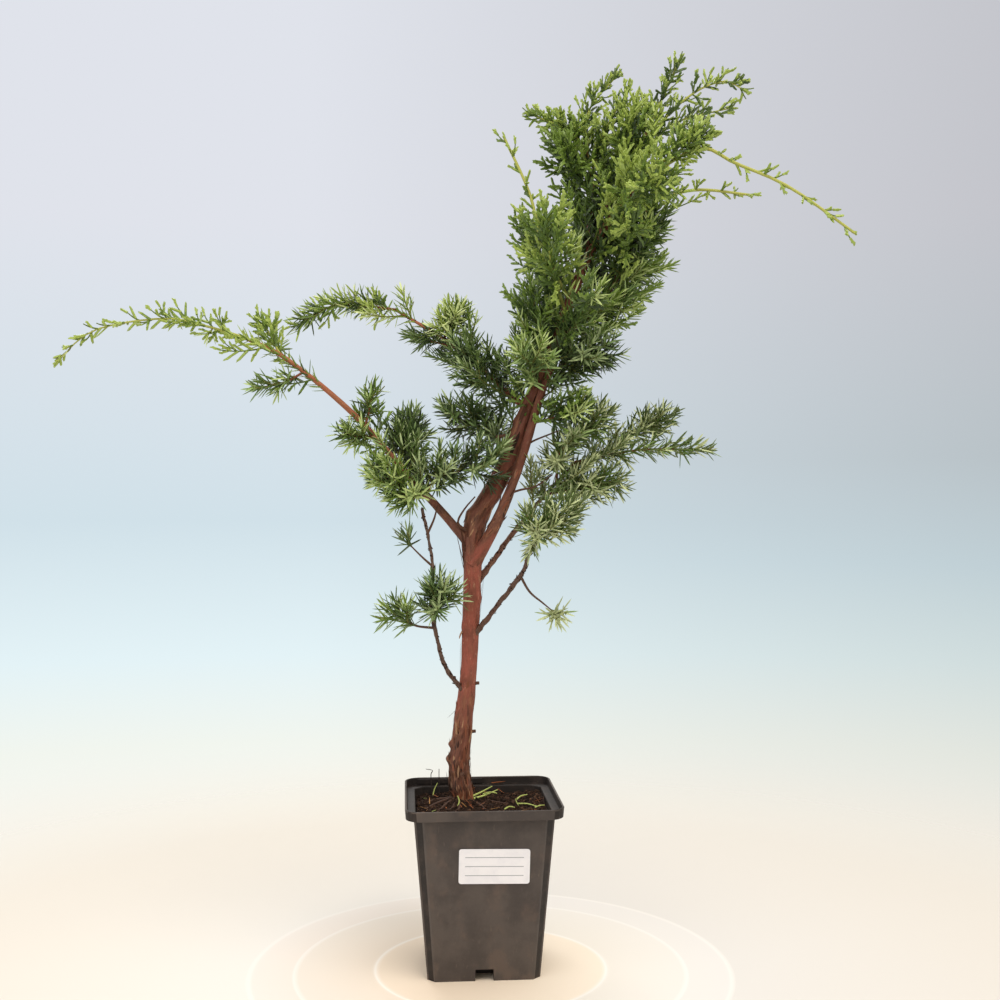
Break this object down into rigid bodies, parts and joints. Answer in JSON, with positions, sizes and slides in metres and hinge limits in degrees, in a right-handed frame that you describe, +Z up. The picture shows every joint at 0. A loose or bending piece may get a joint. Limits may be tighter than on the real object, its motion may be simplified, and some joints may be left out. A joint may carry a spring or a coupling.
{
  "type": "kishu juniper bonsai in a nursery pot",
  "caption": "Young potted juniper tree with a forked, leaning trunk, long side boughs and dense masses of needles, in a square plastic pot filled with soil.",
  "frame": {"origin": "centre of the pot's flat underside, where it stands on the ground", "axes": "+Z up along the height of the plant, +X to the right and +Y away from the viewer, both square to the pot's sides"},
  "size_m": [0.449, 0.1341, 0.5367],
  "materials": {
    "pot_plastic": "satin",
    "label_paper": "matte",
    "peat_soil": "matte",
    "bark": "matte",
    "needle_foliage": "matte",
    "scale_foliage": "matte"
  },
  "bodies": {
    "root": {"pot": "pot_plastic", "label": "label_paper", "soil": "peat_soil", "trunk": "bark", "leader_right": "bark", "leader_left": "bark", "bough_left_long": "bark", "bough_left_high": "bark", "bough_right_low": "bark", "bough_right_high": "bark", "bough_low_left": "bark", "bough_front": "bark", "tip_left": "scale_foliage", "spray_left_upper": "needle_foliage", "spray_left_lower": "needle_foliage", "mass_left_peak": "needle_foliage", "mass_left_outer": "needle_foliage", "mass_left_inner": "needle_foliage", "mass_left_under": "needle_foliage", "mass_left_heart": "needle_foliage", "tip_left_high": "needle_foliage", "mass_left_high": "needle_foliage", "mass_left_back": "needle_foliage", "mass_high_heart": "needle_foliage", "mass_high_inner": "needle_foliage", "tuft_low_left": "needle_foliage", "tuft_low_side": "needle_foliage", "sprig_low_left": "needle_foliage", "mass_right_low": "needle_foliage", "tuft_right": "needle_foliage", "mass_right_under": "needle_foliage", "tip_right": "needle_foliage", "mass_right_outer": "needle_foliage", "mass_right_inner": "needle_foliage", "mass_right_upper": "needle_foliage", "crown_foot_left": "needle_foliage", "crown_low_left": "needle_foliage", "crown_low_front": "needle_foliage", "crown_low_back": "needle_foliage", "crown_low_right": "needle_foliage", "crown_edge_right": "needle_foliage", "crown_mid_front": "needle_foliage", "crown_mid_left": "needle_foliage", "shoot_left": "scale_foliage", "crown_mid_right": "needle_foliage", "crown_front_right": "needle_foliage", "crown_back_right": "needle_foliage", "spray_front_upper": "scale_foliage", "shoot_drooping": "scale_foliage", "spray_front_low": "scale_foliage", "shoot_right": "scale_foliage", "crown_back_mid": "needle_foliage", "crown_top_left": "scale_foliage", "crown_side_left": "scale_foliage", "shoot_peak_back": "scale_foliage", "shoot_peak_front": "scale_foliage", "crown_top_mid": "scale_foliage", "shoot_top": "scale_foliage", "shoot_top_right": "scale_foliage", "shoot_edge_right": "scale_foliage"}
  },
  "joints": []
}
